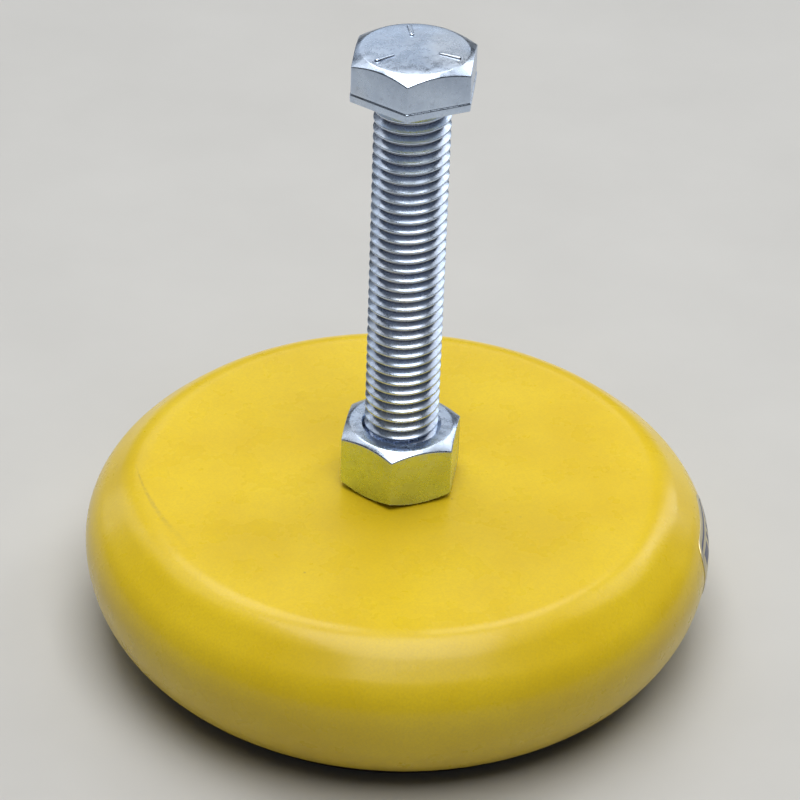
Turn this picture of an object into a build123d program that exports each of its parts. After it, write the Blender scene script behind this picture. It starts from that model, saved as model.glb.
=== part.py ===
"""Vibration-isolating leveling mount: painted steel cap, rubber foot and a 5/8-11 leveling bolt.

Millimetres. The floor is z = 0 and the bolt stands on the Z axis. The mount is drawn at its
lowest setting, with the lock nut run down onto the cap.
"""
import os
from math import acos, atan2, cos, degrees, hypot, pi, radians, sin, sqrt, tan

from build123d import *

INCH = 25.4

# Cap: a pressed sheet with a flat top, a sloping shoulder and a rim that curls inward.
SHEET = 3.0
CAP_TOP_Z = 36.3
RIM_Z = 4.0
CAP_RADIUS = 68.0
FLAT_TOP_RADIUS = 53.4
EQUATOR_Z = 21.2
SHOULDER_RADIUS = 11.0
EQUATOR_RADIUS = 13.0
RIM_RADIUS = 22.5
BOLT_HOLE_RADIUS = 8.4

# Unified coarse thread, 5/8 in with 11 threads per inch.
PITCH = INCH / 11
MAJOR_RADIUS = 5 / 8 * INCH / 2
FLANK_SLOPE = tan(radians(30))
SHARP_HEIGHT = PITCH / 2 / FLANK_SLOPE
BOLT_CREST_WIDTH = PITCH / 8 + 0.04
BOLT_CREST_RADIUS = MAJOR_RADIUS - 0.04
BOLT_ROOT_RADIUS = MAJOR_RADIUS - SHARP_HEIGHT * 17 / 24
THREAD_CLEARANCE = 0.12
NUT_BORE_RADIUS = MAJOR_RADIUS - SHARP_HEIGHT * 5 / 8 + 0.1
THREAD_START_Z = 0.7

# Bolt and nut, both 15/16 in across the flats.
ACROSS_FLATS = 15 / 16 * INCH
HEAD_HEIGHT = 25 / 64 * INCH
NUT_HEIGHT = 35 / 64 * INCH
BOLT_LENGTH = 4.5 * INCH
TIP_CHAMFER = 1.6
NECK_LENGTH = 1.2
NECK_RADIUS = BOLT_ROOT_RADIUS + 0.3
WASHER_FACE_HEIGHT = 0.4
WASHER_FACE_RADIUS = ACROSS_FLATS / 2 * 0.96
CORNER_CHAMFER_DEG = 30
CORNER_CHAMFER_RADIUS = ACROSS_FLATS / 2 * 0.92
COUNTERSINK_RADIUS = MAJOR_RADIUS + 0.6
HEAD_TURN_DEG = -5.1
NUT_TURN_DEG = -7.4
NUT_SEAT_GAP = 0.03

# How far a cutting shape reaches past the surface that it cuts.
OVERSHOOT = 1.0

# Raised grade lines on the head.
GRADE_LINES = 3
GRADE_LINE_FIRST_DEG = -22
GRADE_LINE_LENGTH = 4.6
GRADE_LINE_WIDTH = 0.9
GRADE_LINE_HEIGHT = 0.3
GRADE_LINE_INNER_RADIUS = 5.2

# Boss welded under the cap.
BOSS_RADIUS = 16.0
BOSS_HEIGHT = 13.0
BOSS_CHAMFER = 1.0
WELD_LEG = 4.0
WELD_FACE_RADIUS = 1.6 * WELD_LEG

# Inside the foot.
TIP_Z = 15.6
THRUST_RADIUS = 13.0
THRUST_HEIGHT = 4.0
THRUST_TOP_Z = TIP_Z - 0.05
THRUST_FIT = 0.05
THRUST_CHAMFER = 0.5
PLATE_SHEET = 3.0
PLATE_BOTTOM_Z = 9.5
PLATE_WALL_RADIUS = 56.0
PLATE_FLANGE_RADIUS = 60.0
PLATE_FLANGE_Z = 21.4
PLATE_BEND = 4.0
PLATE_INNER_BEND = PLATE_BEND - PLATE_SHEET

# Rubber foot.
PAD_RADIUS = 57.2
PAD_TOP_Z = 9.2
PAD_EDGE_CHAMFER = 1.0
GROOVE_DEPTH = 1.5
GROOVE_WIDTH = 3.0
GROOVE_RADII = (12.0, 21.0, 30.0, 39.0, 48.0)

# Foil label on the side of the cap.
LABEL_THICKNESS = 0.15
LABEL_GLUE_LINE = 0.02
LABEL_BOTTOM_Z = 15.4
LABEL_TOP_Z = 28.7
LABEL_FROM_DEG = -12
LABEL_TO_DEG = 9

BASE_MIN = (Align.CENTER, Align.CENTER, Align.MIN)
RADIAL_BAR = (Align.MIN, Align.CENTER, Align.MIN)


def standing_cylinder(radius, bottom_z, top_z):
    """A cylinder on the Z axis between two heights."""
    return Pos(0, 0, bottom_z) * Cylinder(radius, top_z - bottom_z, align=BASE_MIN)


def turned(*edges):
    """The solid swept by a closed outline of (radius, height) edges about the Z axis."""
    return revolve(Plane.XZ * make_face(edges), Axis.Z, 360)


def turned_polygon(*points):
    """The solid swept by a polygon of (radius, height) points about the Z axis."""
    return turned(Polyline(*points, close=True))


def shoulder_turn_deg():
    """How far the cap's section has turned from level on the straight part of the shoulder."""
    across = (CAP_RADIUS - EQUATOR_RADIUS) - FLAT_TOP_RADIUS
    up = EQUATOR_Z - (CAP_TOP_Z - SHOULDER_RADIUS)
    apart = hypot(across, up)
    normal_angle = atan2(up, across) + acos((SHOULDER_RADIUS - EQUATOR_RADIUS) / apart)
    return 90 - degrees(normal_angle)


def rim_turn_deg():
    """How far the section has turned from upright where the outside reaches the rim height."""
    return degrees(acos(sqrt(1 - ((EQUATOR_Z - RIM_Z) / RIM_RADIUS) ** 2)))


def cap_skin(inset):
    """The cap's section line from the flat top to the rim, moved into the metal by inset."""
    turn = shoulder_turn_deg()
    shoulder = CenterArc(
        (FLAT_TOP_RADIUS, CAP_TOP_Z - SHOULDER_RADIUS), SHOULDER_RADIUS - inset, 90, -turn
    )
    equator = CenterArc(
        (CAP_RADIUS - EQUATOR_RADIUS, EQUATOR_Z), EQUATOR_RADIUS - inset, 90 - turn, turn - 90
    )
    rim = CenterArc((CAP_RADIUS - RIM_RADIUS, EQUATOR_Z), RIM_RADIUS - inset, 0, -rim_turn_deg())
    slope = Line(shoulder @ 1, equator @ 0)
    return [shoulder, slope, equator, rim]


def make_top_housing():
    """The pressed cap, an even sheet with a bolt hole in its flat top."""
    outside = cap_skin(0)
    inside = cap_skin(SHEET)
    top_edge = (BOLT_HOLE_RADIUS, CAP_TOP_Z)
    under_edge = (BOLT_HOLE_RADIUS, CAP_TOP_Z - SHEET)
    joins = [
        Line(top_edge, outside[0] @ 0),
        Line(under_edge, inside[0] @ 0),
        Line(top_edge, under_edge),
        Line(outside[-1] @ 1, inside[-1] @ 1),
    ]
    return turned(*outside, *inside, *joins)


def make_rating_label():
    """Thin foil that follows the cap's side, cut to a rounded patch."""
    back = cap_skin(-LABEL_GLUE_LINE)
    front = cap_skin(-LABEL_GLUE_LINE - LABEL_THICKNESS)
    band = turned(
        *back, *front, Line(back[0] @ 0, front[0] @ 0), Line(back[-1] @ 1, front[-1] @ 1)
    )
    mid_deg = (LABEL_FROM_DEG + LABEL_TO_DEG) / 2
    half_width = CAP_RADIUS * radians(LABEL_TO_DEG - LABEL_FROM_DEG) / 2
    height = LABEL_TOP_Z - LABEL_BOTTOM_Z
    patch = extrude(Plane.YZ * RectangleRounded(2 * half_width, height, height / 3), CAP_RADIUS)
    middle_z = (LABEL_BOTTOM_Z + LABEL_TOP_Z) / 2
    return band & (Rot(0, 0, mid_deg) * Pos(CAP_RADIUS / 2, 0, middle_z) * patch)


def thread_turn(radius, height):
    """One turn of a helix of the thread's pitch."""
    return Helix(pitch=PITCH, height=PITCH, radius=radius, center=(0, 0, height)).edge()


def threaded_rod(root_radius, crest_radius, crest_width, first_turn, turns):
    """A solid with true helical threads, each turn bounded by four ruled faces."""
    root_width = crest_width + 2 * (crest_radius - root_radius) * FLANK_SLOPE
    profile = (
        (root_radius, -root_width / 2),
        (crest_radius, -crest_width / 2),
        (crest_radius, crest_width / 2),
        (root_radius, root_width / 2),
        (root_radius, PITCH - root_width / 2),
    )
    faces = []
    for turn in range(first_turn, first_turn + turns):
        base = THREAD_START_Z + turn * PITCH
        for (r0, z0), (r1, z1) in zip(profile, profile[1:]):
            faces.append(
                Face.make_surface_from_curves(
                    thread_turn(r0, base + z0), thread_turn(r1, base + z1)
                )
            )
    for turn in (first_turn, first_turn + turns):
        base = THREAD_START_Z + turn * PITCH
        low = base - root_width / 2
        axis = Edge.make_line((0, 0, low), (0, 0, low + PITCH))
        faces.append(Face.make_surface_from_curves(axis, thread_turn(root_radius, low)))
        step = [(0, 0, low), *((r, 0, base + z) for r, z in profile), (0, 0, low + PITCH)]
        faces.append(make_face(Polyline(*step, close=True)).face())
    return Solid(Shell(faces))


def thread_turns(bottom_z, top_z):
    """First turn and number of turns that reach past both heights."""
    first = int((bottom_z - THREAD_START_Z) // PITCH) - 2
    last = int((top_z - THREAD_START_Z) // PITCH) + 3
    return first, last - first


def male_thread(bottom_z, top_z):
    """Helical rod for the bolt, longer than the threaded length at both ends."""
    turns = thread_turns(bottom_z, top_z)
    return threaded_rod(BOLT_ROOT_RADIUS, BOLT_CREST_RADIUS, BOLT_CREST_WIDTH, *turns)


def thread_tool(bottom_z, top_z):
    """Helical rod that cuts a nut thread, clear of the bolt's thread by the fit."""
    flank_growth = 2 * THREAD_CLEARANCE / cos(radians(30))
    crest_radius = BOLT_CREST_RADIUS + THREAD_CLEARANCE
    crest_width = BOLT_CREST_WIDTH + flank_growth - 2 * THREAD_CLEARANCE * FLANK_SLOPE
    turns = thread_turns(bottom_z, top_z)
    return threaded_rod(NUT_BORE_RADIUS, crest_radius, crest_width, *turns)


def hexagon(bottom_z, height, turn_deg):
    """Hexagonal prism, corner towards -Y before it is turned."""
    flat = RegularPolygon(ACROSS_FLATS / 2, 6, major_radius=False, rotation=30)
    return Pos(0, 0, bottom_z) * Rot(0, 0, turn_deg) * extrude(flat, height)


def corner_cone(bottom_z, top_z, chamfer_bottom):
    """Turned body whose cones take the corners off a hexagon's ends."""
    face = CORNER_CHAMFER_RADIUS
    outer = ACROSS_FLATS / sqrt(3) + OVERSHOOT
    drop = (outer - face) * tan(radians(CORNER_CHAMFER_DEG))
    points = [(0, bottom_z), (outer, bottom_z)]
    if chamfer_bottom:
        points = [(0, bottom_z), (face, bottom_z), (outer, bottom_z + drop)]
    points += [(outer, top_z - drop), (face, top_z), (0, top_z)]
    return turned_polygon(*points)


def make_grade_lines(top_z):
    """Raised radial lines that show the bolt's strength grade."""
    bar = Box(GRADE_LINE_LENGTH, GRADE_LINE_WIDTH, 2 * GRADE_LINE_HEIGHT, align=RADIAL_BAR)
    bars = []
    for index in range(GRADE_LINES):
        angle = GRADE_LINE_FIRST_DEG + index * 360 / GRADE_LINES
        place = Rot(0, 0, angle) * Pos(GRADE_LINE_INNER_RADIUS, 0, top_z - GRADE_LINE_HEIGHT)
        bars.append(place * bar)
    return bars


def make_leveling_bolt():
    """Fully threaded hex bolt with a washer face and a chamfered tip."""
    seat_z = TIP_Z + BOLT_LENGTH
    top_z = seat_z + HEAD_HEIGHT
    neck_z = seat_z - NECK_LENGTH
    shank_limit = turned_polygon(
        (0, TIP_Z),
        (MAJOR_RADIUS - TIP_CHAMFER, TIP_Z),
        (MAJOR_RADIUS, TIP_Z + TIP_CHAMFER),
        (MAJOR_RADIUS, neck_z),
        (0, neck_z),
    )
    shank = male_thread(TIP_Z, neck_z) & shank_limit
    neck = standing_cylinder(NECK_RADIUS, neck_z, seat_z)
    washer_face = standing_cylinder(WASHER_FACE_RADIUS, seat_z, seat_z + WASHER_FACE_HEIGHT)
    head_z = seat_z + WASHER_FACE_HEIGHT
    head = hexagon(head_z, top_z - head_z, HEAD_TURN_DEG) & corner_cone(head_z, top_z, False)
    return shank + neck + washer_face + head + make_grade_lines(top_z)


def bore_countersink(face_z, inward):
    """Cone that opens a threaded bore at a face; inward is +1 or -1 along Z into the part."""
    depth = COUNTERSINK_RADIUS - NUT_BORE_RADIUS
    return turned_polygon(
        (0, face_z - inward * OVERSHOOT),
        (COUNTERSINK_RADIUS + OVERSHOOT, face_z - inward * OVERSHOOT),
        (NUT_BORE_RADIUS, face_z + inward * depth),
        (0, face_z + inward * depth),
    )


def make_lock_nut():
    """Double-chamfered hex nut with a helical thread."""
    bottom_z = CAP_TOP_Z + NUT_SEAT_GAP
    top_z = bottom_z + NUT_HEIGHT
    blank = hexagon(bottom_z, NUT_HEIGHT, NUT_TURN_DEG) & corner_cone(bottom_z, top_z, True)
    body = blank - bore_countersink(bottom_z, 1) - bore_countersink(top_z, -1)
    return body - thread_tool(bottom_z, top_z)


def make_hub_nut():
    """Round threaded boss that the bolt screws through, under the cap."""
    top_z = CAP_TOP_Z - SHEET
    bottom_z = top_z - BOSS_HEIGHT
    blank = turned_polygon(
        (0, bottom_z),
        (BOSS_RADIUS - BOSS_CHAMFER, bottom_z),
        (BOSS_RADIUS, bottom_z + BOSS_CHAMFER),
        (BOSS_RADIUS, top_z),
        (0, top_z),
    )
    body = blank - bore_countersink(bottom_z, 1) - bore_countersink(top_z, -1)
    return body - thread_tool(bottom_z, top_z)


def make_hub_weld():
    """Hollow-faced fillet weld around the boss."""
    under_z = CAP_TOP_Z - SHEET
    outer = (BOSS_RADIUS + WELD_LEG, under_z)
    lower = (BOSS_RADIUS, under_z - WELD_LEG)
    corner = (BOSS_RADIUS, under_z)
    face = RadiusArc(outer, lower, WELD_FACE_RADIUS)
    return turned(Line(corner, outer), face, Line(lower, corner))


def make_thrust_pad():
    """Hardened disc that carries the bolt tip."""
    disc = standing_cylinder(THRUST_RADIUS, THRUST_TOP_Z - THRUST_HEIGHT, THRUST_TOP_Z)
    return chamfer(disc.edges().group_by(Axis.Z)[-1], THRUST_CHAMFER)


def make_load_plate():
    """Dished plate with an outward flange that catches the cap's rim at full lift."""
    floor_z = PLATE_BOTTOM_Z + PLATE_SHEET
    inner_wall = PLATE_WALL_RADIUS - PLATE_SHEET
    flange_top_z = PLATE_FLANGE_Z + PLATE_SHEET
    seat_z = THRUST_TOP_Z - THRUST_HEIGHT
    outline = [
        Polyline(
            (0, seat_z),
            (THRUST_RADIUS + THRUST_FIT, seat_z),
            (THRUST_RADIUS + THRUST_FIT, floor_z),
            (inner_wall - PLATE_INNER_BEND, floor_z),
        ),
        CenterArc(
            (inner_wall - PLATE_INNER_BEND, floor_z + PLATE_INNER_BEND), PLATE_INNER_BEND, -90, 90
        ),
        Polyline(
            (inner_wall, floor_z + PLATE_INNER_BEND),
            (inner_wall, flange_top_z),
            (PLATE_FLANGE_RADIUS, flange_top_z),
            (PLATE_FLANGE_RADIUS, PLATE_FLANGE_Z),
            (PLATE_WALL_RADIUS, PLATE_FLANGE_Z),
            (PLATE_WALL_RADIUS, PLATE_BOTTOM_Z + PLATE_BEND),
        ),
        CenterArc(
            (PLATE_WALL_RADIUS - PLATE_BEND, PLATE_BOTTOM_Z + PLATE_BEND), PLATE_BEND, 0, -90
        ),
        Polyline(
            (PLATE_WALL_RADIUS - PLATE_BEND, PLATE_BOTTOM_Z), (0, PLATE_BOTTOM_Z), (0, seat_z)
        ),
    ]
    return turned(*outline)


def make_isolator_pad():
    """Rubber disc with concentric grip grooves in its sole."""
    disc = standing_cylinder(PAD_RADIUS, 0, PAD_TOP_Z)
    disc = chamfer(disc.edges().group_by(Axis.Z)[0], PAD_EDGE_CHAMFER)
    for radius in GROOVE_RADII:
        disc -= turned_polygon(
            (radius - GROOVE_WIDTH / 2, -OVERSHOOT),
            (radius + GROOVE_WIDTH / 2, -OVERSHOOT),
            (radius + GROOVE_WIDTH / 2, GROOVE_DEPTH),
            (radius - GROOVE_WIDTH / 2, GROOVE_DEPTH),
        )
    return disc


def write_parts():
    """Build every node and write one STEP file for each."""
    nodes = {
        "leveling_bolt": make_leveling_bolt(),
        "lock_nut": make_lock_nut(),
        "top_housing": make_top_housing(),
        "rating_label": make_rating_label(),
        "hub_nut": make_hub_nut(),
        "hub_weld": make_hub_weld(),
        "thrust_pad": make_thrust_pad(),
        "load_plate": make_load_plate(),
        "isolator_pad": make_isolator_pad(),
    }
    os.makedirs("parts", exist_ok=True)
    for name, shape in nodes.items():
        export_step(shape, f"parts/{name}.step")


write_parts()
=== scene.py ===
"""Looks of the leveling mount: enamelled cap, zinc bolt and nut, rubber foot. Metres."""
from math import acos, atan2, cos, degrees, hypot, pi, radians, sin, sqrt, tan

import bmesh
import bpy
from mathutils import Matrix, Vector, noise


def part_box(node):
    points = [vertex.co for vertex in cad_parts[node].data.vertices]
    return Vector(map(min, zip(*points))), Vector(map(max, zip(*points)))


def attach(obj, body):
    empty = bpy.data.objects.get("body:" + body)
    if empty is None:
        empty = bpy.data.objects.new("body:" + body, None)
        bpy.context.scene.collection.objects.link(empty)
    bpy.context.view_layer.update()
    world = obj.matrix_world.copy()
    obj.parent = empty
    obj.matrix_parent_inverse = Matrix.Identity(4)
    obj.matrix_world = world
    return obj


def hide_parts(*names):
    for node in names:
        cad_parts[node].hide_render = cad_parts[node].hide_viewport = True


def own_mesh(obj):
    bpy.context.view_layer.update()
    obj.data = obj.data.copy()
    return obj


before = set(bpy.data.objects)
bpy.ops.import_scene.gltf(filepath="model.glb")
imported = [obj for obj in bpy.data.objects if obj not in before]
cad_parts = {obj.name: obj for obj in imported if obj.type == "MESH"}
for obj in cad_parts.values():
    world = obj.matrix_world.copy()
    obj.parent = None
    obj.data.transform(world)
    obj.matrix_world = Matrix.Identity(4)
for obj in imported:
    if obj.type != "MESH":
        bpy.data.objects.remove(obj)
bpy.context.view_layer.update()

MM = 0.001
INCH = 25.4 * MM
WELD_DISTANCE = 0.0005 * MM

# Sizes shared with the CAD part.
PITCH = INCH / 11
MAJOR_R = 5 / 8 * INCH / 2
SHARP_HEIGHT = PITCH / 2 / tan(radians(30))
CREST_R = MAJOR_R - 0.04 * MM
CREST_WIDTH = PITCH / 8 + 0.04 * MM
ROOT_R = MAJOR_R - SHARP_HEIGHT * 17 / 24
THREAD_CLEARANCE = 0.12 * MM
NUT_BORE_R = MAJOR_R - SHARP_HEIGHT * 5 / 8 + 0.1 * MM
THREAD_START_Z = 0.7 * MM
COUNTERSINK_R = MAJOR_R + 0.6 * MM
TIP_CHAMFER = 1.6 * MM
NECK_LENGTH = 1.2 * MM
NECK_R = ROOT_R + 0.3 * MM
HEAD_HEIGHT = 25 / 64 * INCH
WASHER_FACE_HEIGHT = 0.4 * MM
HALF_FLATS = 15 / 32 * INCH
WASHER_FACE_R = HALF_FLATS * 0.96
CHAMFER_FACE_R = HALF_FLATS * 0.92
HEX_FILLET = 0.45 * MM
HEX_SIDE_STEPS = 14
HEAD_TURN = radians(-5.1)
NUT_TURN = radians(-7.4)
GRADE_LINES_DEG = (-22, 98, 218)
GRADE_LINE_MIDDLE_R = 7.5 * MM
GRADE_LINE_HALF_LENGTH = 2.3 * MM
GRADE_LINE_HALF_WIDTH = 0.45 * MM
GRADE_LINE_HEIGHT = 0.3 * MM
CAP_R = 68.0 * MM
FLAT_TOP_R = 53.4 * MM
EQUATOR_Z = 21.2 * MM
RIM_Z = 4.0 * MM
SHOULDER_R = 11.0 * MM
EQUATOR_R = 13.0 * MM
RIM_R = 22.5 * MM
SHEET = 3.0 * MM
BOLT_HOLE_R = 8.4 * MM
PAD_R = 57.2 * MM
GROOVES_R = (12 * MM, 21 * MM, 30 * MM, 39 * MM, 48 * MM)
GROOVE_HALF_WIDTH = 1.5 * MM
GROOVE_DEPTH = 1.5 * MM
LABEL_FROM_DEG = -12
LABEL_TO_DEG = 9
LABEL_BOTTOM_Z = 15.4 * MM
LABEL_TOP_Z = 28.7 * MM
LABEL_THICKNESS = 0.15 * MM

# Details that only the looks have.
HOLE_EDGE_R = 0.5 * MM
HOLE_BURR = 0.4 * MM
FLAT_RINGS_R = (9.2 * MM, 12 * MM, 18 * MM, 26 * MM, 35 * MM, 44 * MM, 49 * MM)
UNDER_RINGS_R = (9.2 * MM, 18 * MM, 35 * MM)
WAVES_FROM_R = 14 * MM
WAVES_FULL_R = 24 * MM
HEAD_SEAM_SHARE = 0.22
HEAD_SEAM_DEPTH = 0.18 * MM
HEAD_CROWN = 0.02 * MM
HEAD_EDGE_BLEND = 0.22 * MM
NUT_EDGE_BLEND = 0.25 * MM
MOUTH_LAND = 0.4 * MM
MOUTH_GAP = 0.02 * MM
BOSS_EDGE_ACROSS = 1.0 * MM
BOSS_EDGE_DOWN = 0.8 * MM
RUNOUT_SLOPE = 1.1
WELD_RIPPLES = 34
WELD_ROOT = 0.2 * MM
PAD_CLEARANCE = 0.05 * MM
PAD_PARTING_Z = 5.2 * MM
PAD_AXIS_R = 0.5 * MM
LABEL_MIDDLE_Z = (LABEL_BOTTOM_Z + LABEL_TOP_Z) / 2
LABEL_COLUMNS = 48
LABEL_ROW_OFFSET = 2.6 * MM
LABEL_BAR_HALF = 1.4 * MM
LABEL_BAR_STEPS = 6
LABEL_TOP_BARS_DEG = ((-9.5, -5), (-3.5, -2), (-0.5, 1), (2.5, 6.5))
LABEL_LOW_BARS_DEG = ((-9.5, -3), (-1.5, 1), (2.5, 6.5))
LABEL_LINE_OUTSIDE = 0.9 * MM
LABEL_LINE_INSIDE = 1.5 * MM
PRINT_SUNK = 0.05 * MM
PRINT_PROUD = 0.02 * MM

# A thin darker arc on the cap: an arc about a point to the right of the bolt and behind it, which
# runs from a little behind the bolt's axis to well in front of it.
DARK_ARC_CENTRE = (12.8 * MM, 15.5 * MM)
DARK_ARC_R = 71.4 * MM
DARK_ARC_BACK_Y = 1 * MM
DARK_ARC_FRONT_Y = -30 * MM
DARK_ARC_THIN = 0.25 * MM
DARK_ARC_WIDE = 1.1 * MM

# Colours are linear red, green and blue.
PAINT_DEEP = (0.76, 0.535, 0.012)
PAINT_PALE = (0.84, 0.615, 0.02)
PAINT_GRAIN = (0.62, 0.43, 0.03)
PAINT_SPECK = (0.30, 0.20, 0.05)
PAINT_DARK_ARC = (0.42, 0.30, 0.05)
PAINT_RIM_SHADE = (0.30, 0.22, 0.08)
# The zinc's blue is partly the plating's own blue-white and partly a painted reflection of bluish
# surroundings.
ZINC_DARK = (0.52, 0.62, 0.79)
ZINC_PALE = (0.65, 0.76, 0.93)
ZINC_WARM = (0.70, 0.70, 0.69)
ZINC_SMUT = (0.38, 0.43, 0.54)
GROOVE_SHADE = (0.12, 0.11, 0.17)
STEEL = (0.42, 0.41, 0.39)
STEEL_SCALE = (0.16, 0.15, 0.15)
WELD = (0.30, 0.29, 0.28)
WELD_SCALE = (0.10, 0.10, 0.11)
RUST = (0.20, 0.085, 0.035)
RUBBER = (0.040, 0.020, 0.024)
RUBBER_DUST = (0.115, 0.085, 0.085)
FOIL_DARK = (0.56, 0.50, 0.32)
FOIL_PALE = (0.66, 0.59, 0.38)
INK_DARK = (0.035, 0.045, 0.12)
INK_PALE = (0.05, 0.065, 0.16)
FLOOR_DARK = (0.56, 0.56, 0.55)
FLOOR_PALE = (0.59, 0.59, 0.58)

# Heights and radii on the pieces where painted shade begins and ends: low on the cap and in the
# thread's grooves.
RIM_SHADE_FULL_Z = 3 * MM
RIM_SHADE_NONE_Z = 14 * MM
GROOVE_SHADE_TOP_Z = 127 * MM
GROOVE_SHADE_FADE = 0.5 * MM
GROOVE_SHADE_NONE_R = CREST_R - 0.1 * MM

# Soft lights: name, place, width, height, power and colour. All face LIGHTS_AIM.
WARM_WHITE = (1.0, 0.985, 0.96)
COOL_WHITE = (0.88, 0.94, 1.0)
SIDE_WHITE = (0.92, 0.96, 1.0)
LIGHTS_AIM = (0, 0, 0.05)
LIGHTS = (
    ("overhead", (0.03, -0.13, 0.95), 0.64, 0.92, 7.8, WARM_WHITE),
    ("high_back", (-0.1, 0.74, 1.1), 0.9, 0.36, 3.7, WARM_WHITE),
    ("back_wall", (-0.15, 1.3, 0.66), 1.2, 0.34, 1.3, COOL_WHITE),
    ("right_high", (0.64, 0.46, 0.81), 0.5, 0.5, 1.25, WARM_WHITE),
    ("left_high", (-0.59, 0.38, 0.89), 0.4, 0.4, 0.7, WARM_WHITE),
    ("right_strip", (0.75, 0.85, 0.5), 0.25, 0.8, 1.5, SIDE_WHITE),
    ("left_strip", (-0.85, 0.75, 0.45), 0.25, 0.8, 0.8, SIDE_WHITE),
)
WORLD_COLOR = (0.80, 0.86, 0.95, 1)
WORLD_STRENGTH = 0.06
FLOOR_HALF_SIZE = 6.0

# The camera, set so that the bolt and cap fall where the photograph has them.
CAMERA_ELEVATION = radians(33.25)
CAMERA_PAN = radians(0.0411)
CAMERA_TILT = radians(-0.7694)
CAMERA_ROLL = radians(2.11)
CAMERA_DISTANCE = 0.6474
CAMERA_TARGET_ABOVE_CAP = 30.0 * MM
LENS_MM = 138.06
SENSOR_MM = 36.0


# ---------------------------------------------------------------- mesh building

class Shell:
    """A surface round the Z axis, made of rings that all have a point at each angle."""

    def __init__(self, angles):
        self.angles = angles
        self.vertices = []
        self.faces = []

    def point(self, angle, radius, height):
        self.vertices.append((radius * cos(angle), radius * sin(angle), height))
        return len(self.vertices) - 1

    def ring(self, radius_height_at):
        """A new ring; radius_height_at(angle) gives each point's radius and height."""
        return [self.point(angle, *radius_height_at(angle)) for angle in self.angles]

    def face(self, corners):
        unique = list(dict.fromkeys(corners))
        if len(unique) > 2:
            self.faces.append(unique)

    def bridge(self, lower, upper):
        for here in range(len(self.angles)):
            there = (here + 1) % len(self.angles)
            self.face((lower[here], lower[there], upper[there], upper[here]))

    def sweep(self, profile_at, first=None, last=None):
        """Rings along a profile of (radius, height) points that may change with the angle.

        It joins on to the rings first and last, if they are given.
        """
        profiles = [profile_at(angle) for angle in self.angles]
        rings = [first] if first else []
        for row in range(len(profiles[0])):
            rings.append([
                self.point(angle, *profile[row])
                for angle, profile in zip(self.angles, profiles)
            ])
        if last:
            rings.append(last)
        for lower, upper in zip(rings, rings[1:]):
            self.bridge(lower, upper)
        return rings[0], rings[-1]

    def close(self, ring, height):
        """A fan from the ring to a point on the axis."""
        centre = self.point(0, 0, height)
        for here in range(len(ring)):
            self.face((ring[here], ring[(here + 1) % len(ring)], centre))

    def thread(self, low_z, high_z, profile, radius_at):
        """A helical wall between two heights. profile is one pitch of (height, radius) points,
        and radius_at(radius, height) may hold the wall back near its ends."""
        turns = int((high_z - low_z) / PITCH) + 4
        first_turn = int((low_z - THREAD_START_Z) // PITCH) - 2
        rows = [
            (THREAD_START_Z + PITCH * (first_turn + turn) + dz, radius)
            for turn in range(turns)
            for dz, radius in profile
        ]
        base_r = profile[0][1]
        low_ring = self.ring(lambda angle: (radius_at(base_r, low_z), low_z))
        high_ring = self.ring(lambda angle: (radius_at(base_r, high_z), high_z))
        columns = []
        for at, angle in enumerate(self.angles):
            column = []
            for height, radius in rows:
                z = height + PITCH * angle / (2 * pi)
                if z <= low_z:
                    column.append(low_ring[at])
                elif z >= high_z:
                    column.append(high_ring[at])
                else:
                    column.append(self.point(angle, radius_at(radius, z), z))
            columns.append(column)
        columns.append(columns[0][len(profile):])
        for left, right in zip(columns, columns[1:]):
            for row in range(min(len(left), len(right)) - 1):
                self.face((left[row], right[row], right[row + 1], left[row + 1]))
        return low_ring, high_ring

    def make(self, name, sharp_degrees=35):
        """The finished object, with its normals outward, smooth except at sharp edges."""
        mesh = bpy.data.meshes.new(name)
        mesh.from_pydata(self.vertices, [], self.faces)
        shape = bmesh.new()
        shape.from_mesh(mesh)
        bmesh.ops.remove_doubles(shape, verts=shape.verts, dist=WELD_DISTANCE)
        bmesh.ops.recalc_face_normals(shape, faces=shape.faces)
        shape.to_mesh(mesh)
        shape.free()
        mesh.shade_smooth()
        mesh.set_sharp_from_angle(angle=radians(sharp_degrees))
        obj = bpy.data.objects.new(name, mesh)
        bpy.context.scene.collection.objects.link(obj)
        return obj


def even_angles(count):
    return [2 * pi * index / count for index in range(count)]


def arc(centre, radius, start_deg, turn_deg, steps):
    """Points on an arc in the (radius, height) plane."""
    return [
        (centre[0] + radius * cos(radians(start_deg + turn_deg * step / steps)),
         centre[1] + radius * sin(radians(start_deg + turn_deg * step / steps)))
        for step in range(steps + 1)
    ]


def curve_corner(before, point, after, radius, steps=3):
    """Points of a smooth curve that replaces one corner of an outline."""
    ends = []
    for other in (before, after):
        gap = hypot(other[0] - point[0], other[1] - point[1])
        share = min(radius / gap, 0.45) if gap > 0 else 0
        ends.append([point[k] + (other[k] - point[k]) * share for k in (0, 1)])
    return [
        tuple((1 - t) ** 2 * ends[0][k] + 2 * t * (1 - t) * point[k] + t ** 2 * ends[1][k]
              for k in (0, 1))
        for t in (step / steps for step in range(steps + 1))
    ]


def rounded(points, radius, closed=False, steps=3):
    """An outline with its corners rounded; the ends of an open one are kept."""
    out = []
    for index, point in enumerate(points):
        if not closed and index in (0, len(points) - 1):
            out.append(point)
            continue
        after = points[(index + 1) % len(points)]
        out += curve_corner(points[index - 1], point, after, radius, steps)
    return out


def lathe(name, outline, segments=360, sharp_degrees=35):
    """A closed solid turned from an outline that doesn't touch the axis."""
    shell = Shell(even_angles(segments))
    first, last = shell.sweep(lambda angle: outline)
    shell.bridge(last, first)
    return shell.make(name, sharp_degrees)


# ---------------------------------------------------------------- hexagons and threads

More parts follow.
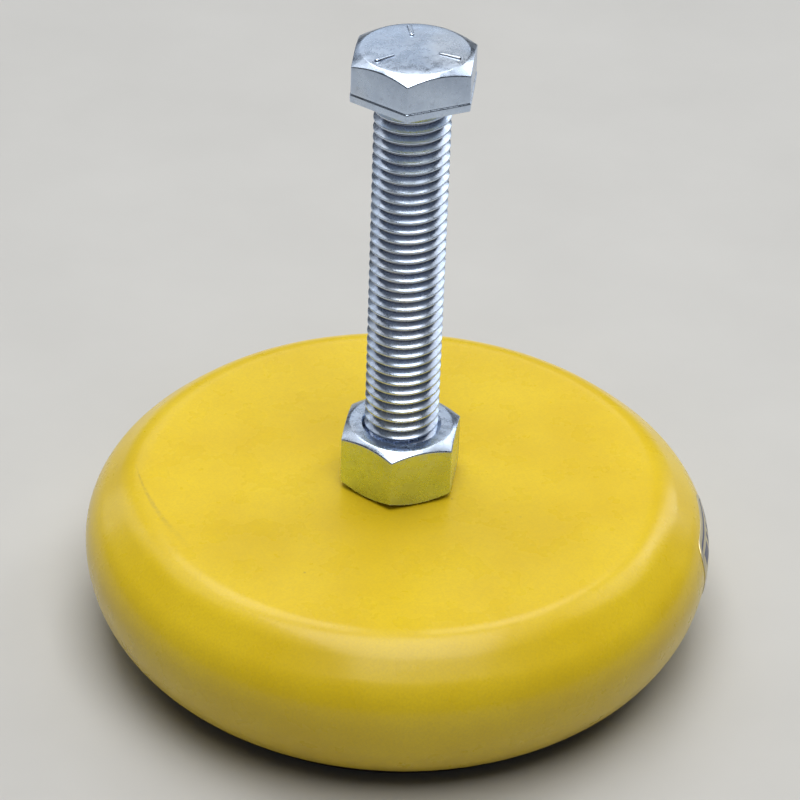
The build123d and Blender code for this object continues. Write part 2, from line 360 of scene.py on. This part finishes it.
def hex_corner():
    """Where a rounded hexagon corner's circle sits, and half the angle that it covers."""
    centre_r = (HALF_FLATS - HEX_FILLET) / cos(radians(30))
    half_angle = atan2(HEX_FILLET / 2, centre_r + HEX_FILLET * cos(radians(30)))
    return centre_r, half_angle


def hex_angles(turn):
    """Angles round a hexagon, closer together at its rounded corners."""
    half_angle = hex_corner()[1]
    angles = []
    for side in range(6):
        corner = turn - pi / 2 + side * pi / 3
        angles += [corner + half_angle * share for share in (-1, -0.5, 0, 0.5, 1)]
        step = (pi / 3 - 2 * half_angle) / HEX_SIDE_STEPS
        angles += [corner + half_angle + step * index for index in range(1, HEX_SIDE_STEPS)]
    return angles


def hex_radius(angle, turn):
    """Radius of the rounded hexagon, which has a corner towards -Y before it is turned."""
    centre_r, half_angle = hex_corner()
    off = (angle - turn + pi / 2 + pi / 6) % (pi / 3) - pi / 6
    if abs(off) < half_angle:
        return centre_r * cos(off) + sqrt(HEX_FILLET ** 2 - (centre_r * sin(off)) ** 2)
    return HALF_FLATS / cos(pi / 6 - abs(off))


def chamfer_drop(radius):
    """How far the 30 degree corner chamfer has fallen at a radius."""
    return max(0.0, radius - CHAMFER_FACE_R) * tan(radians(30))


def thread_profile(base_r, tip_r, tip_width, base_blend, tip_blend):
    """One pitch of a thread as (height, radius) points, its corners rounded."""
    base_half = tip_width / 2 + abs(tip_r - base_r) * tan(radians(30))
    corners = [(-PITCH / 2, base_r), (-base_half, base_r), (-tip_width / 2, tip_r),
               (tip_width / 2, tip_r), (base_half, base_r), (PITCH / 2, base_r)]
    profile = [corners[0]]
    for index, blend in ((1, base_blend), (2, tip_blend), (3, tip_blend), (4, base_blend)):
        profile += curve_corner(*corners[index - 1:index + 2], blend, 3)
    return profile


# ---------------------------------------------------------------- pieces

def shoulder_turn():
    """Degrees that the cap's section has turned from level on the straight of its shoulder."""
    across = CAP_R - EQUATOR_R - FLAT_TOP_R
    up = EQUATOR_Z - (cap_top_z() - SHOULDER_R)
    normal = atan2(up, across) + acos((SHOULDER_R - EQUATOR_R) / hypot(across, up))
    return 90 - degrees(normal)


def rim_turn():
    """Degrees that the section has turned from upright at the rim's lowest point."""
    return degrees(acos(sqrt(1 - ((EQUATOR_Z - RIM_Z) / RIM_R) ** 2)))


def cap_top_z():
    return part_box("top_housing")[1][2]


def cap_skin(inset):
    """The cap's section from the edge of its flat top to the rim, moved inward by inset."""
    turn = shoulder_turn()
    skin = arc((FLAT_TOP_R, cap_top_z() - SHOULDER_R), SHOULDER_R - inset, 90, -turn, 16)
    skin += arc((CAP_R - EQUATOR_R, EQUATOR_Z), EQUATOR_R - inset, 90 - turn, turn - 90, 18)
    skin += arc((CAP_R - RIM_R, EQUATOR_Z), RIM_R - inset, 0, -rim_turn(), 20)[1:]
    return skin


def pressed_wave(x, y, z):
    """Slow hollows and rises of a hand-finished pressing, in metres."""
    slow = noise.noise(Vector((x, y, z)) / (34 * MM)) * 0.05
    return (slow + noise.noise(Vector((x, y, z)) / (11 * MM) + Vector((7, 0, 3))) * 0.012) * MM


def cap_outline():
    """The section of the cap's sheet, with its edges softened."""
    top = cap_top_z()
    under = top - SHEET
    outside = [(radius, top) for radius in FLAT_RINGS_R] + cap_skin(0)
    inside = [(radius, under) for radius in UNDER_RINGS_R] + cap_skin(SHEET)
    hole = arc((BOLT_HOLE_R + HOLE_EDGE_R, top - HOLE_EDGE_R), HOLE_EDGE_R, 180, -90, 4)
    hole_under = [(BOLT_HOLE_R, under + HOLE_BURR), (BOLT_HOLE_R + HOLE_BURR, under)]
    rim = [
        (outside[-1][0] * (1 - share) + inside[-1][0] * share - bulge * MM,
         outside[-1][1] * (1 - share) + inside[-1][1] * share - bulge * MM)
        for share, bulge in ((0.12, 0.16), (0.3, 0.26), (0.5, 0.3), (0.7, 0.26), (0.88, 0.16))
    ]
    return hole + outside + rim + inside[::-1] + hole_under[::-1]


def make_cap():
    """The enamelled cap, a closed sheet with slight press marks away from its bolt hole."""
    cap = lathe("cap_shell", cap_outline(), 480)
    for vertex in cap.data.vertices:
        x, y, z = vertex.co
        radius = hypot(x, y)
        fade = min(1.0, max(0.0, (radius - WAVES_FROM_R) / (WAVES_FULL_R - WAVES_FROM_R)))
        lift = pressed_wave(x, y, z) * fade
        vertex.co += Vector((x / radius / 2, y / radius / 2, 1)) * lift
    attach(cap, "housing")
    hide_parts("top_housing")
    return cap


def head_profile(seat_z, top_z):
    """The head's outline at an angle, from its underside to the middle of its top."""
    seam_z = seat_z + HEAD_HEIGHT * HEAD_SEAM_SHARE

    def outline(angle):
        side = hex_radius(angle, HEAD_TURN)
        proud = side + HEAD_SEAM_DEPTH
        low = seat_z + WASHER_FACE_HEIGHT
        corners = [
            (NECK_R, seat_z),
            (WASHER_FACE_R, seat_z),
            (WASHER_FACE_R, low),
            (proud - 0.1 * MM, low),
            (proud, seam_z - 0.10 * MM),
            (side - 0.05 * MM, seam_z + 0.08 * MM),
            (side - 0.05 * MM, seam_z + 0.30 * MM),
            (side, seam_z + 0.55 * MM),
            (side, top_z - 0.15 * MM - chamfer_drop(side)),
            (CHAMFER_FACE_R, top_z - 0.22 * MM),
            (CHAMFER_FACE_R * 0.84, top_z - 0.08 * MM),
            (CHAMFER_FACE_R * 0.62, top_z),
            (3 * MM, top_z + HEAD_CROWN),
        ]
        return rounded(corners, HEAD_EDGE_BLEND)

    return outline


def make_bolt():
    """The whole bolt in one closed mesh: chamfered tip, rolled thread, neck and hex head."""
    low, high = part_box("leveling_bolt")
    tip_z, top_z = low[2], high[2] - GRADE_LINE_HEIGHT
    seat_z = top_z - HEAD_HEIGHT
    neck_z = seat_z - NECK_LENGTH
    profile = thread_profile(ROOT_R, CREST_R, CREST_WIDTH, 0.22 * MM, 0.07 * MM)

    def held(radius, z):
        chamfer = MAJOR_R - TIP_CHAMFER + (z - tip_z)
        runout = NECK_R + max(0.0, neck_z - z) * RUNOUT_SLOPE
        return min(radius, chamfer, runout)

    shell = Shell(hex_angles(HEAD_TURN))
    low_ring, high_ring = shell.thread(tip_z, neck_z, profile, held)
    shell.close(low_ring, tip_z)
    neck = shell.ring(lambda angle: (NECK_R, neck_z))
    shell.bridge(high_ring, neck)
    crown = shell.sweep(head_profile(seat_z, top_z), first=neck)[1]
    shell.close(crown, top_z + HEAD_CROWN)
    bolt = shell.make("bolt", 28)
    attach(bolt, "bolt")
    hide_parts("leveling_bolt")
    return bolt, top_z


def grade_line_ring(shape, turn, z, grow):
    """A level ring of points round one bar of the head's marking, made wider by grow."""
    half_width = GRADE_LINE_HALF_WIDTH + grow
    reach = GRADE_LINE_HALF_LENGTH - GRADE_LINE_HALF_WIDTH
    ring = []
    for angle in even_angles(32):
        end = reach if cos(angle) > 0 else -reach
        along = GRADE_LINE_MIDDLE_R + end + half_width * cos(angle)
        place = Matrix.Rotation(turn, 3, "Z") @ Vector((along, half_width * sin(angle), z))
        ring.append(shape.verts.new(place))
    return ring


def make_grade_lines(top_z):
    """Raised radial bars on the head with sloping, rounded sides."""
    shape = bmesh.new()
    section = ((-0.1, 0.12), (0.0, 0.10), (0.18, 0.02), (0.27, -0.06), (0.3, -0.16))
    for turn in GRADE_LINES_DEG:
        rings = [
            grade_line_ring(shape, radians(turn), top_z + height * MM, grow * MM)
            for height, grow in section
        ]
        for lower, upper in zip(rings, rings[1:]):
            for here in range(len(lower)):
                there = (here + 1) % len(lower)
                shape.faces.new((lower[here], lower[there], upper[there], upper[here]))
        shape.faces.new(rings[-1])
        shape.faces.new(rings[0][::-1])
    return loose_piece("bolt_grade_lines", shape, "bolt", 50)


def make_nut(name, node, body, turn, radius_at, chamfered):
    """A threaded nut or boss: outside from radius_at, helical bore with countersunk mouths."""
    low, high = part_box(node)
    low_z, high_z = low[2], high[2]
    tip_r = CREST_R + THREAD_CLEARANCE
    tip_width = CREST_WIDTH + 2 * THREAD_CLEARANCE * (1 / cos(radians(30)) - tan(radians(30)))
    profile = thread_profile(NUT_BORE_R, tip_r, tip_width, 0.09 * MM, 0.1 * MM)

    def held(radius, z):
        return max(radius, COUNTERSINK_R - min(z - low_z, high_z - z))

    shell = Shell(hex_angles(turn))
    low_ring, high_ring = shell.thread(low_z, high_z, profile, held)

    def outline(angle):
        side = radius_at(angle)
        face_r = CHAMFER_FACE_R if chamfered else side - BOSS_EDGE_ACROSS
        drop = chamfer_drop(side) if chamfered else BOSS_EDGE_DOWN
        corners = [
            (COUNTERSINK_R + MOUTH_GAP, low_z),
            (COUNTERSINK_R + MOUTH_LAND, low_z),
            (face_r, low_z),
            (side, low_z + drop),
            (side, high_z - drop),
            (face_r, high_z),
            (COUNTERSINK_R + MOUTH_LAND, high_z),
            (COUNTERSINK_R + MOUTH_GAP, high_z),
        ]
        return rounded(corners, NUT_EDGE_BLEND)

    shell.sweep(outline, first=low_ring, last=high_ring)
    nut = shell.make(name, 28)
    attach(nut, body)
    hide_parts(node)
    return nut


def make_weld():
    """A fillet weld of overlapping ripples between boss and cap."""
    low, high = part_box("hub_weld")
    low_z, top_z = low[2], high[2]
    leg = top_z - low_z
    inner_r = high[0] - leg
    shell = Shell(even_angles(360))

    def outline(angle):
        ripple = abs((angle * WELD_RIPPLES / (2 * pi)) % 1 - 0.35)
        swell = leg * (0.08 - 0.16 * ripple)
        face = []
        for share in (step / 8 for step in range(9)):
            push = sin(pi * share) * (swell - leg * 0.12) * 0.7
            face.append((inner_r + leg * share + push, low_z + leg * share - push))
        return [(inner_r - WELD_ROOT, low_z)] + face + [(inner_r - WELD_ROOT, top_z)]

    first, last = shell.sweep(outline)
    shell.bridge(last, first)
    weld = shell.make("weld_ripples", 60)
    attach(weld, "housing")
    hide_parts("hub_weld")
    return weld


def pad_outline(top_z):
    """Half of the rubber foot's section, from the middle of its sole to the middle of its top."""
    slope = 0.25 * MM
    sole = [(PAD_AXIS_R, 0.0)]
    for middle in GROOVES_R:
        inner, outer = middle - GROOVE_HALF_WIDTH, middle + GROOVE_HALF_WIDTH
        sole += [(inner, 0.0), (inner + slope, GROOVE_DEPTH),
                 (outer - slope, GROOVE_DEPTH), (outer, 0.0)]
    side = [
        (PAD_R - 1.2 * MM, 0.0),
        (PAD_R - 0.1 * MM, 1.1 * MM),
        (PAD_R, PAD_PARTING_Z - 0.3 * MM),
        (PAD_R + 0.18 * MM, PAD_PARTING_Z),
        (PAD_R, PAD_PARTING_Z + 0.3 * MM),
        (PAD_R - 0.1 * MM, top_z - 0.6 * MM),
        (PAD_R - 0.7 * MM, top_z),
    ]
    return rounded(sole + side + [(PAD_AXIS_R, top_z)], 0.3 * MM)


def make_pad():
    """The rubber foot: moulded edge, parting line and grooved sole, on a mesh of its own."""
    top_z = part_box("load_plate")[0][2] - PAD_CLEARANCE
    outline = pad_outline(top_z)
    shell = Shell(even_angles(300))
    first, last = shell.sweep(lambda angle: outline)
    shell.close(first, 0.0)
    shell.close(last, top_z)
    pad = shell.make("rubber_foot", 40)
    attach(pad, "base")
    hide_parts("isolator_pad")
    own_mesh(pad)
    return pad


def cap_radius_at(z):
    """Radius of the cap's outside at a height below its shoulder line."""
    if z < EQUATOR_Z:
        return CAP_R - RIM_R + sqrt(RIM_R ** 2 - (z - EQUATOR_Z) ** 2)
    return CAP_R - EQUATOR_R + sqrt(EQUATOR_R ** 2 - min(z - EQUATOR_Z, EQUATOR_R) ** 2)


def loose_piece(name, shape, body, sharp_degrees=40):
    """The finished object of a bmesh, smooth except at sharp edges, riding on a body."""
    bmesh.ops.recalc_face_normals(shape, faces=shape.faces)
    mesh = bpy.data.meshes.new(name)
    shape.to_mesh(mesh)
    shape.free()
    mesh.shade_smooth()
    mesh.set_sharp_from_angle(angle=radians(sharp_degrees))
    piece = bpy.data.objects.new(name, mesh)
    bpy.context.scene.collection.objects.link(piece)
    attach(piece, body)
    return piece


def add_wrapped_block(shape, columns, lifts, rows=8):
    """A thin block bent round the cap's side.

    columns holds (angle, middle height, half height) from one end to the other, and lifts how
    far its back and front stand off the cap.
    """
    def corner(column, row, lift):
        angle, middle, half = column
        z = middle + half * (2 * row / rows - 1)
        radius = cap_radius_at(z) + lift
        return shape.verts.new((radius * cos(angle), radius * sin(angle), z))

    last = len(columns) - 1
    back, front = (
        [[corner(column, row, lift) for row in range(rows + 1)] for column in columns]
        for lift in lifts
    )
    for layer in (back, front):
        for at in range(last):
            for row in range(rows):
                shape.faces.new((layer[at][row], layer[at + 1][row],
                                 layer[at + 1][row + 1], layer[at][row + 1]))
    rim = [(at, 0) for at in range(last)]
    rim += [(last, row) for row in range(rows)]
    rim += [(at, rows) for at in range(last, 0, -1)]
    rim += [(0, row) for row in range(rows, 0, -1)]
    for (at, row), (next_at, next_row) in zip(rim, rim[1:] + rim[:1]):
        shape.faces.new((back[at][row], back[next_at][next_row],
                         front[next_at][next_row], front[at][row]))


def label_outline(inset):
    """Columns of the label's rounded rectangle, made smaller by inset."""
    middle = radians(LABEL_FROM_DEG + LABEL_TO_DEG) / 2
    half_u = CAP_R * radians(LABEL_TO_DEG - LABEL_FROM_DEG) / 2 - inset
    half_v = (LABEL_TOP_Z - LABEL_BOTTOM_Z) / 2 - inset
    corner = (LABEL_TOP_Z - LABEL_BOTTOM_Z) / 3 - inset
    columns = []
    for step in range(LABEL_COLUMNS + 1):
        u = -half_u * cos(pi * step / LABEL_COLUMNS)
        over = max(0.0, abs(u) - (half_u - corner))
        half = half_v - corner + sqrt(max(0.0, corner ** 2 - over ** 2))
        columns.append((middle + u / CAP_R, LABEL_MIDDLE_Z, half))
    return columns


def make_label_base():
    """The foil label, a rounded patch on the cap's side."""
    shape = bmesh.new()
    add_wrapped_block(shape, label_outline(0), (0, LABEL_THICKNESS), rows=24)
    label = loose_piece("label_base", shape, "housing")
    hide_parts("rating_label")
    return label


def make_label_print():
    """Plain blocks in two rows inside a frame line, in place of the label's print."""
    shape = bmesh.new()
    lifts = (LABEL_THICKNESS - PRINT_SUNK, LABEL_THICKNESS + PRINT_PROUD)
    for z, bars in ((LABEL_MIDDLE_Z + LABEL_ROW_OFFSET, LABEL_TOP_BARS_DEG),
                    (LABEL_MIDDLE_Z - LABEL_ROW_OFFSET, LABEL_LOW_BARS_DEG)):
        for start, stop in bars:
            degrees_apart = (stop - start) / LABEL_BAR_STEPS
            angles = (radians(start + degrees_apart * step) for step in range(LABEL_BAR_STEPS + 1))
            add_wrapped_block(shape, [(angle, z, LABEL_BAR_HALF) for angle in angles], lifts)
    outer = label_outline(LABEL_LINE_OUTSIDE)
    inner = label_outline(LABEL_LINE_INSIDE)
    for side in (-1, 1):
        strip = []
        for (angle, z, half), (_, _, inner_half) in zip(outer, inner):
            strip.append((angle, z + side * (half + inner_half) / 2, (half - inner_half) / 2))
        add_wrapped_block(shape, strip, lifts, rows=2)
    return loose_piece("label_print", shape, "housing")


# ---------------------------------------------------------------- materials

def socket_by_identifier(sockets, identifier):
    """One of several sockets that share a name, such as the Mix node's."""
    return next(socket for socket in sockets if socket.identifier == identifier)


class Look:
    """A Principled material with helpers for the procedural detail that feeds it."""

    def __init__(self, name):
        self.material = bpy.data.materials.new(name)
        self.material.use_nodes = True
        self.tree = self.material.node_tree
        self.shader = self.tree.nodes["Principled BSDF"]
        self.place = self.tree.nodes.new("ShaderNodeTexCoord").outputs["Object"]
        self.bump_chain = None

    def set(self, **values):
        for name, value in values.items():
            self.shader.inputs[name.replace("_", " ")].default_value = value
        return self

    def feed(self, socket, source):
        self.tree.links.new(source, self.shader.inputs[socket])

    def stretched(self, scale, offset=(0, 0, 0)):
        node = self.tree.nodes.new("ShaderNodeMapping")
        node.inputs["Scale"].default_value = scale
        node.inputs["Location"].default_value = offset
        self.tree.links.new(self.place, node.inputs["Vector"])
        return node.outputs["Vector"]

    def noise(self, size, detail=3.0, roughness=0.55, vector=None):
        """Noise whose features are about size metres across, from 0 to 1."""
        node = self.tree.nodes.new("ShaderNodeTexNoise")
        node.inputs["Scale"].default_value = 1 / size
        node.inputs["Detail"].default_value = detail
        node.inputs["Roughness"].default_value = roughness
        self.tree.links.new(vector or self.place, node.inputs["Vector"])
        return node.outputs["Fac"]

    def cells(self, size):
        """Distance to the nearest of scattered points that are about size metres apart."""
        node = self.tree.nodes.new("ShaderNodeTexVoronoi")
        node.inputs["Scale"].default_value = 1 / size
        self.tree.links.new(self.place, node.inputs["Vector"])
        return node.outputs["Distance"]

    def ramp(self, source, low, high, from_value=0.0, to_value=1.0):
        """source mapped so that low gives from_value and high gives to_value, clamped."""
        node = self.tree.nodes.new("ShaderNodeMapRange")
        node.inputs["From Min"].default_value = low
        node.inputs["From Max"].default_value = high
        node.inputs["To Min"].default_value = from_value
        node.inputs["To Max"].default_value = to_value
        self.tree.links.new(source, node.inputs["Value"])
        return node.outputs["Result"]

    def math(self, operation, first, second):
        node = self.tree.nodes.new("ShaderNodeMath")
        node.operation = operation
        for socket, value in zip(node.inputs, (first, second)):
            if isinstance(value, (int, float)):
                socket.default_value = value
            else:
                self.tree.links.new(value, socket)
        return node.outputs["Value"]

    def mix(self, share, first, second):
        """Colour mix; each colour is a tuple or a socket."""
        node = self.tree.nodes.new("ShaderNodeMix")
        node.data_type = "RGBA"
        self.tree.links.new(share, node.inputs["Factor"])
        for socket_name, value in (("A_Color", first), ("B_Color", second)):
            socket = socket_by_identifier(node.inputs, socket_name)
            if isinstance(value, tuple):
                socket.default_value = (*value, 1.0)
            else:
                self.tree.links.new(value, socket)
        return socket_by_identifier(node.outputs, "Result_Color")

    def along(self, axis):
        """Object coordinate along X, Y or Z."""
        node = self.tree.nodes.new("ShaderNodeSeparateXYZ")
        self.tree.links.new(self.place, node.inputs["Vector"])
        return node.outputs[axis]

    def bump(self, source, distance, strength=1.0):
        node = self.tree.nodes.new("ShaderNodeBump")
        node.inputs["Strength"].default_value = strength
        node.inputs["Distance"].default_value = distance
        self.tree.links.new(source, node.inputs["Height"])
        if self.bump_chain:
            self.tree.links.new(self.bump_chain, node.inputs["Normal"])
        self.bump_chain = node.outputs["Normal"]
        self.feed("Normal", self.bump_chain)

    def radius(self, centre=(0, 0)):
        """Distance from an upright line, for detail that follows a turned piece."""
        node = self.tree.nodes.new("ShaderNodeVectorMath")
        node.operation = "LENGTH"
        flat = self.stretched((1, 1, 0), (-centre[0], -centre[1], 0))
        self.tree.links.new(flat, node.inputs[0])
        return node.outputs["Value"]


def dark_arc(look):
    """A thin darker curved line near the left edge of the cap's flat top, wider towards the front.
    """
    along = look.along("Y")
    frontness = look.ramp(along, -4 * MM, -26 * MM)
    half_width = look.ramp(frontness, 0.0, 1.0, DARK_ARC_THIN, DARK_ARC_WIDE)
    off_line = look.math("SUBTRACT", look.radius(DARK_ARC_CENTRE), DARK_ARC_R)
    off_line = look.math("DIVIDE", look.math("ABSOLUTE", off_line, 0), half_width)
    line = look.ramp(off_line, 0.3, 1, 1, 0)
    back_end = look.ramp(along, DARK_ARC_BACK_Y, DARK_ARC_BACK_Y - 4 * MM)
    front_end = look.ramp(along, DARK_ARC_FRONT_Y, DARK_ARC_FRONT_Y + 16 * MM)
    arc_breaks = look.ramp(look.noise(0.9 * MM, 4, 0.7), 0.3, 0.6)
    return look.math("MULTIPLY", look.math("MULTIPLY", line, arc_breaks),
                     look.math("MULTIPLY", back_end, front_end))


def enamel():
    """Yellow paint: cloudy, finely grained, specked, with a thin darker arc at one place and
    painted shade towards the rim.
    """
    look = Look("yellow_enamel")
    look.set(IOR=1.4, Coat_Weight=0.15, Coat_Roughness=0.15)
    color = look.mix(look.ramp(look.noise(28 * MM, 4), 0.35, 0.65), PAINT_DEEP, PAINT_PALE)
    grain = look.ramp(look.noise(0.5 * MM, 2), 0.35, 0.7)
    color = look.mix(look.math("MULTIPLY", grain, 0.34), color, PAINT_GRAIN)
    chosen = look.ramp(look.noise(17 * MM, 2), 0.46, 0.54)
    specks = look.math("MULTIPLY", look.ramp(look.cells(9 * MM), 0.02, 0.045, 1.0, 0.0), chosen)
    color = look.mix(look.math("MULTIPLY", specks, 0.65), color, PAINT_SPECK)
    # A thin darker arc painted into the colour, also sunk a little by the last bump.
    arc_mark = dark_arc(look)
    color = look.mix(look.math("MULTIPLY", arc_mark, 0.55), color, PAINT_DARK_ARC)
    # Painted shade: the paint is coloured darker towards the rim, in noisy patches; this mask also
    # makes it rougher there.
    rim = look.ramp(look.along("Z"), RIM_SHADE_FULL_Z, RIM_SHADE_NONE_Z, 1.0, 0.0)
    rim_shade = look.math("MULTIPLY", rim, look.ramp(look.noise(6 * MM, 5, 0.65), 0.35, 0.7))
    color = look.mix(look.math("MULTIPLY", rim_shade, 0.55), color, PAINT_RIM_SHADE)
    look.feed("Base Color", color)
    rough = look.ramp(look.noise(9 * MM, 4), 0.3, 0.7, 0.24, 0.34)
    look.feed("Roughness", look.math("ADD", rough, look.math("MULTIPLY", rim_shade, 0.2)))
    look.bump(look.noise(2.6 * MM, 2, 0.4), 0.05 * MM, 0.5)
    look.bump(look.noise(0.45 * MM, 2, 0.6), 0.012 * MM, 0.6)
    look.bump(look.math("ADD", specks, arc_mark), -0.05 * MM, 0.5)
    return look.material


def zinc():
    """Bright zinc: cloudy, warm and smutty in patches, with painted shade in the thread's grooves.
    """
    look = Look("zinc_steel")
    look.set(Metallic=1.0, Anisotropic=0.2)
    # Base tones tinted blue, partly the plating's own colour and partly painted reflection.
    color = look.mix(look.ramp(look.noise(7 * MM, 4, 0.6), 0.3, 0.7), ZINC_DARK, ZINC_PALE)
    warm = look.ramp(look.noise(16 * MM, 2), 0.52, 0.7, 0.0, 0.35)
    color = look.mix(warm, color, ZINC_WARM)
    smut = look.ramp(look.noise(1.2 * MM, 5, 0.7), 0.56, 0.72, 0.0, 0.55)
    color = look.mix(smut, color, ZINC_SMUT)
    # Painted shade: the thread's grooves are coloured dark, below the head only.
    groove = look.ramp(look.radius(), ROOT_R, GROOVE_SHADE_NONE_R, 0.6, 0.0)
    below_head = look.ramp(look.along("Z"), GROOVE_SHADE_TOP_Z, GROOVE_SHADE_TOP_Z + GROOVE_SHADE_FADE, 1.0, 0.0)
    color = look.mix(look.math("MULTIPLY", groove, below_head), color, GROOVE_SHADE)
    look.feed("Base Color", color)
    rough = look.ramp(look.noise(2.2 * MM, 5, 0.65), 0.3, 0.7, 0.20, 0.36)
    look.feed("Roughness", rough)
    drawn = look.noise(1.0, 3, 0.6, look.stretched((1500, 1500, 160)))
    look.bump(drawn, 0.01 * MM, 0.5)
    look.bump(look.noise(1.6 * MM, 4, 0.6), 0.03 * MM, 0.5)
    return look.material


def dark_steel(name, color, scale_color, roughness):
    """Unpainted steel with patches of mill scale and a little rust."""
    look = Look(name)
    look.set(Metallic=1.0)
    patches = look.ramp(look.noise(9 * MM, 6, 0.65), 0.42, 0.6)
    tone = look.mix(patches, color, scale_color)
    rust = look.ramp(look.noise(3 * MM, 6, 0.7), 0.62, 0.74, 0.0, 0.6)
    look.feed("Base Color", look.mix(rust, tone, RUST))
    look.feed("Roughness", look.ramp(look.noise(4 * MM, 5), 0.3, 0.7, roughness, roughness + 0.2))
    look.bump(look.noise(1.1 * MM, 5, 0.65), 0.05 * MM, 0.6)
    return look.material


def rubber():
    """Dusty moulded rubber."""
    look = Look("nitrile_rubber")
    look.set(IOR=1.5)
    dusty = look.ramp(look.noise(7 * MM, 5, 0.6), 0.4, 0.75, 0.0, 0.5)
    look.feed("Base Color", look.mix(dusty, RUBBER, RUBBER_DUST))
    look.feed("Roughness", look.ramp(look.noise(3 * MM, 4), 0.3, 0.7, 0.55, 0.75))
    look.bump(look.noise(0.5 * MM, 4, 0.7), 0.04 * MM, 0.7)
    look.bump(look.noise(3.5 * MM, 3), 0.08 * MM, 0.4)
    return look.material


def foil(name, color, other, metallic):
    """The label's brushed foil or its print, streaked along the label."""
    look = Look(name)
    look.set(Metallic=metallic)
    brushed = look.noise(1.0, 3, 0.5, look.stretched((300, 300, 4000)))
    look.feed("Base Color", look.mix(look.ramp(brushed, 0.35, 0.65), color, other))
    look.feed("Roughness", look.ramp(look.noise(2 * MM, 4), 0.3, 0.7, 0.28, 0.42))
    look.bump(brushed, 0.01 * MM, 0.4)
    return look.material


def floor_look():
    look = Look("pale_floor")
    look.set(IOR=1.4, Roughness=0.7)
    patches = look.ramp(look.noise(50 * MM, 4), 0.3, 0.7)
    look.feed("Base Color", look.mix(patches, FLOOR_DARK, FLOOR_PALE))
    return look.material


def wear(obj, material):
    obj.data.materials.clear()
    obj.data.materials.append(material)


# ---------------------------------------------------------------- scene

def make_floor():
    shape = bmesh.new()
    bmesh.ops.create_grid(shape, x_segments=1, y_segments=1, size=FLOOR_HALF_SIZE)
    mesh = bpy.data.meshes.new("floor")
    shape.to_mesh(mesh)
    shape.free()
    floor = bpy.data.objects.new("floor", mesh)
    bpy.context.scene.collection.objects.link(floor)
    wear(floor, floor_look())


def make_area_light(name, place, width, height, power, color):
    data = bpy.data.lights.new(name, "AREA")
    data.shape = "RECTANGLE"
    data.size = width
    data.size_y = height
    data.energy = power
    data.color = color
    lamp = bpy.data.objects.new(name, data)
    bpy.context.scene.collection.objects.link(lamp)
    lamp.location = place
    lamp.rotation_mode = "QUATERNION"
    lamp.rotation_quaternion = (Vector(LIGHTS_AIM) - Vector(place)).to_track_quat("-Z", "Y")


def make_lights():
    world = bpy.data.worlds.new("studio")
    bpy.context.scene.world = world
    world.use_nodes = True
    background = world.node_tree.nodes["Background"]
    background.inputs["Color"].default_value = WORLD_COLOR
    background.inputs["Strength"].default_value = WORLD_STRENGTH
    for light in LIGHTS:
        make_area_light(*light)


def make_camera():
    target = Vector((0, 0, cap_top_z() + CAMERA_TARGET_ABOVE_CAP))
    back = Vector((0, -cos(CAMERA_ELEVATION), sin(CAMERA_ELEVATION)))
    up = Vector((0, sin(CAMERA_ELEVATION), cos(CAMERA_ELEVATION)))
    facing = Matrix((Vector((1, 0, 0)), up, back)).transposed().to_4x4()
    pan = Matrix.Rotation(CAMERA_PAN, 4, "Y")
    tilt = Matrix.Rotation(CAMERA_TILT, 4, "X")
    roll = Matrix.Rotation(CAMERA_ROLL, 4, "Z")
    data = bpy.data.cameras.new("camera")
    data.sensor_width = SENSOR_MM
    data.lens = LENS_MM
    camera = bpy.data.objects.new("camera", data)
    bpy.context.scene.collection.objects.link(camera)
    away = Matrix.Translation(target + back * CAMERA_DISTANCE)
    camera.matrix_world = away @ facing @ pan @ tilt @ roll
    bpy.context.scene.camera = camera


def build():
    yellow, metal, black = enamel(), zinc(), rubber()
    steel = dark_steel("bare_steel", STEEL, STEEL_SCALE, 0.35)
    bead = dark_steel("weld_bead", WELD, WELD_SCALE, 0.45)
    silver = foil("label_foil", FOIL_DARK, FOIL_PALE, 0.7)
    ink = foil("label_ink", INK_DARK, INK_PALE, 0.0)
    wear(make_cap(), yellow)
    bolt, head_top_z = make_bolt()
    wear(bolt, metal)
    wear(make_grade_lines(head_top_z), metal)
    nut = make_nut("lock_nut_hex", "lock_nut", "nut", NUT_TURN,
                   lambda angle: hex_radius(angle, NUT_TURN), True)
    wear(nut, metal)
    boss_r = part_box("hub_nut")[1][0]
    boss = make_nut("hub_boss", "hub_nut", "housing", NUT_TURN,
                    lambda angle: boss_r, False)
    wear(boss, steel)
    wear(make_weld(), bead)
    wear(make_pad(), black)
    wear(make_label_base(), silver)
    wear(make_label_print(), ink)
    for node in ("load_plate", "thrust_pad"):
        wear(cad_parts[node], steel)
    make_floor()
    make_lights()
    make_camera()
    bpy.context.scene.view_settings.view_transform = "Standard"


build()
bpy.context.view_layer.update()
